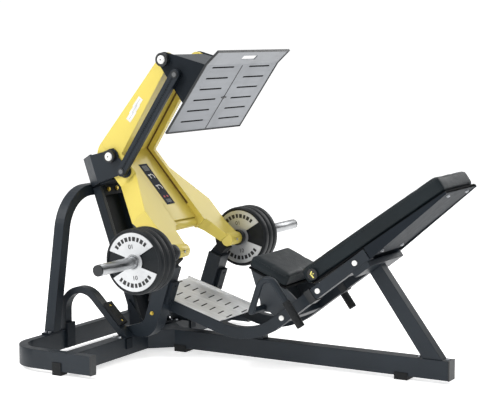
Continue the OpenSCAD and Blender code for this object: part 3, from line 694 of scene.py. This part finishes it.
def capsule(x, y, length, width, turn, steps=6):
    """A round-ended bar outline about a point, turned in its plane."""
    half, radius = length / 2 - width / 2, width / 2
    ends = [(half + radius * math.cos(a), radius * math.sin(a))
            for a in [math.radians(-90 + 180 * i / steps) for i in range(steps + 1)]]
    ends += [(-px, -py) for px, py in ends]
    c, k = math.cos(math.radians(turn)), math.sin(math.radians(turn))
    return [(x + px * c - py * k, y + px * k + py * c) for px, py in ends]


# The slots as the CAD cuts them, less a hair all round so that the painted-shade strips fit inside.
SLOT_WIDTH = 0.0066
SLOT_SHADE_DEPTH = 0.0010
FOOT_SLOTS = {"origin": FOOT["origin"], "tilt": FOOT["tilt"], "lift": 0.0003, "rows": 6, "first": 0.058,
              "pitch": 0.056, "across": 0.155, "length": 0.1794, "turn": 90}
TREAD_SLOTS = {"origin": (0.0, 0.2433), "tilt": -16.49, "lift": -0.0013, "rows": 9, "first": -0.192,
               "pitch": 0.0445, "across": 0.066, "length": 0.0596, "turn": 96}


def make_slot_shade_strips():
    """Painted shade: black strips inside the slots of the footplate and of the tread plate, two to a row,
    standing in for the shade inside the slots.
    """
    for name, body, slots in (("footplate", "carriage", FOOT_SLOTS), ("tread", "frame", TREAD_SLOTS)):
        face = plane_frame(slots["origin"], slots["tilt"]) @ Matrix.Translation((0, 0, slots["lift"]))
        strips = [slab(capsule(slots["first"] + slots["pitch"] * i, side * slots["across"],
                               slots["length"], SLOT_WIDTH, slots["turn"]), SLOT_SHADE_DEPTH, face)
                  for i in range(slots["rows"]) for side in (-1, 1)]
        add_mesh(f"{name}_slot_shade_strips", joined(strips), "slot_painted_shade", body)


def make_groove_shade_strips():
    """Painted shade: brown bands along the flanks' inner walls, beside the arm's front panel, standing in
    for the shade in the recess there.
    """
    outline = [(-0.1802, 1.2382), (-0.3915, 0.9000), (-0.1734, 0.6530), (-0.1667, 0.6591),
               (-0.3820, 0.9005), (-0.1725, 1.2334)]
    depth = 0.0006
    for name, y in (("right", depth - FLANK_IN), ("left", FLANK_IN)):
        # Each strip is painted shade laid on a flank's inner wall.
        strip = slab(outline, depth, side_matrix((0, 0), y, -1))
        add_mesh(f"groove_shade_strip_{name}", strip, "groove_painted_shade", "arm")


def make_placard_print():
    """Plain arcs, dots and two rows of bars on the arm's instruction plate, none of them lettering."""
    low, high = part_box("arm_placard")
    slope = -48.2
    lift, spot_depth, bar_depth = 0.0008, 0.0005, 0.0004
    face = Matrix.Translation((low + high) / 2) @ Matrix.Rotation(-math.radians(slope), 4, "Y")
    face = face @ Matrix.Translation((0, 0, lift))

    def spots(outline, places):
        return [slab(outline, spot_depth, face @ Matrix.Translation((x, y, 0))) for x, y in places]

    def bars(first, pitch, count, width, half):
        return [slab(bar(first + pitch * i, width, -half, half), bar_depth, face) for i in range(count)]

    white = spots(sector(0.013, 0.017, 60, 300, 16), ((-0.040, 0.004), (0.022, 0.004)))
    white += spots(open_disc(0.0045, 12), ((-0.052, -0.014), (0.010, -0.014)))
    grey = bars(first=-0.104, pitch=0.005, count=6, width=0.0022, half=0.020)
    grey += bars(first=0.088, pitch=0.0045, count=4, width=0.0016, half=0.018)
    red = spots(open_disc(0.0055, 14), ((0.072, -0.012), (0.072, 0.012)))
    add_mesh("placard_white", joined(white), "print_white", "arm")
    add_mesh("placard_grey", joined(grey), "print_grey", "arm")
    add_mesh("placard_red", joined(red), "print_red", "arm")


def make_arm_labels():
    """Plain white stepped labels with thin grey rules on the upper arm's sides."""
    start, end = Vector((-0.321, 1.043)), Vector((-0.246, 1.140))
    slope = math.degrees(math.atan2(end.y - start.y, end.x - start.x))
    length = (end - start).length
    gap, label_depth, rule_depth, rule_height = 0.0001, 0.0005, 0.0008, 0.0012
    # Along the label the points are shares of its length, and across it they are metres.
    steps = [(0.00, -0.017), (0.46, -0.017), (0.46, -0.013), (0.76, -0.013), (0.76, -0.009), (1.00, -0.009),
             (1.00, 0.017), (0.54, 0.017), (0.54, 0.013), (0.26, 0.013), (0.26, 0.009), (0.00, 0.009)]
    rules = ((0.06, 0.40, -0.005), (0.33, 0.69, 0.000), (0.61, 0.94, 0.004))
    outline = [(length * share, y) for share, y in steps]
    for name, side in SIDES:
        face = side_matrix(start, side * (ARM_SIDE + gap), side, -side * slope)
        lines = [slab(bar(length * a, length * (b - a), y, y + rule_height), rule_depth, face)
                 for a, b, y in rules]
        add_mesh(f"arm_label_{name}", slab(outline, label_depth, face), "print_white", "arm")
        add_mesh(f"arm_label_lines_{name}", joined(lines), "print_grey", "arm")


def make_grip_ribs():
    """Raised rings round the rubber hand grips."""
    top, end = Vector((0.435, 0.457)), Vector((0.604, 0.228))
    handle_y = 0.246
    rib_count, rib_start, rib_pitch = 13, 0.110, 0.0085
    rib = [(0.0172, -0.0022), (0.0182, -0.0012), (0.0182, 0.0012), (0.0172, 0.0022)]
    direction = (end - top).normalized()
    tilt = math.degrees(math.atan2(direction.y, direction.x))
    lean = Matrix.Rotation(math.radians(90 - tilt), 4, "Y")
    for name, side in SIDES:
        rings = []
        for i in range(rib_count):
            middle = end - direction * (rib_start - rib_pitch * i)
            rings.append(lathe(rib, Matrix.Translation(at(middle, side * handle_y)) @ lean))
        add_mesh(f"grip_ribs_{name}", joined(rings), "grip", "frame", smooth=True)


make_badges()
make_pivot_discs()
make_plate_prints()
make_footplate_mark()
make_slot_shade_strips()
make_groove_shade_strips()
make_placard_print()
make_arm_labels()
make_grip_ribs()


# ---------------------------------------------------------------- floor, light and sky
FLOOR_HALF = 40
FLOOR_GLOW = 0.62


def make_floor():
    """A wide near-white floor with a glow of its own, so that it stays nearly white between the lights."""
    bm = bmesh.new()
    bmesh.ops.create_grid(bm, x_segments=1, y_segments=1, size=FLOOR_HALF)
    floor = bpy.data.objects.new("floor", from_bmesh(bm))
    scene.collection.objects.link(floor)
    s = Shader("studio_floor", (0.93, 0.93, 0.93), 0.75)
    s.vary_color(s.noise(0.6, 2), 0.01)
    s.bsdf.inputs["Emission Color"].default_value = (1.0, 1.0, 1.0, 1)
    s.bsdf.inputs["Emission Strength"].default_value = FLOOR_GLOW
    floor.data.materials.append(s.material)


def add_light(name, place, target, size, power):
    """A square area light turned towards its target, with its size in metres and its power in watts."""
    data = bpy.data.lights.new(name, "AREA")
    data.size = size
    data.energy = power
    light = bpy.data.objects.new(name, data)
    light.location = place
    light.rotation_euler = (Vector(target) - Vector(place)).to_track_quat("-Z", "Y").to_euler()
    scene.collection.objects.link(light)


def make_sky():
    """White background, and a surround that lights the machine less from the backrest's side."""
    world = bpy.data.worlds.new("studio")
    world.use_nodes = True
    scene.world = world
    tree = world.node_tree
    coords = tree.nodes.new("ShaderNodeTexCoord")
    split = tree.nodes.new("ShaderNodeSeparateXYZ")
    tree.links.new(coords.outputs["Generated"], split.inputs["Vector"])
    fade = tree.nodes.new("ShaderNodeMapRange")
    fade.inputs["From Min"].default_value = 0.15
    fade.inputs["From Max"].default_value = 0.95
    fade.inputs["To Min"].default_value = 0.62
    fade.inputs["To Max"].default_value = 0.04
    tree.links.new(split.outputs["X"], fade.inputs["Value"])
    background = tree.nodes["Background"]
    background.inputs["Color"].default_value = (1.0, 1.0, 1.0, 1)
    tree.links.new(fade.outputs["Result"], background.inputs["Strength"])
    rays = tree.nodes.new("ShaderNodeLightPath")
    white = tree.nodes.new("ShaderNodeBackground")
    white.inputs["Color"].default_value = (1.0, 1.0, 1.0, 1)
    white.inputs["Strength"].default_value = 1.05
    choose = tree.nodes.new("ShaderNodeMixShader")
    tree.links.new(rays.outputs["Is Camera Ray"], choose.inputs[0])
    tree.links.new(background.outputs[0], choose.inputs[1])
    tree.links.new(white.outputs[0], choose.inputs[2])
    tree.links.new(choose.outputs[0], tree.nodes["World Output"].inputs["Surface"])


make_floor()
make_sky()
add_light("key", place=(-2.9, -3.6, 4.0), target=(0.0, 0.0, 0.7), size=2.2, power=150)
add_light("top", place=(-0.6, 0.4, 5.0), target=(0.0, 0.0, 0.6), size=3.2, power=100)
add_light("fill", place=(3.6, -2.4, 2.0), target=(-0.3, 0.0, 0.8), size=2.4, power=55)
add_light("rim", place=(0.8, 4.2, 2.6), target=(0.2, 0.0, 0.6), size=2.4, power=50)
scene.view_settings.view_transform = "Standard"
scene.view_settings.look = "None"
scene.view_settings.exposure = 0.0
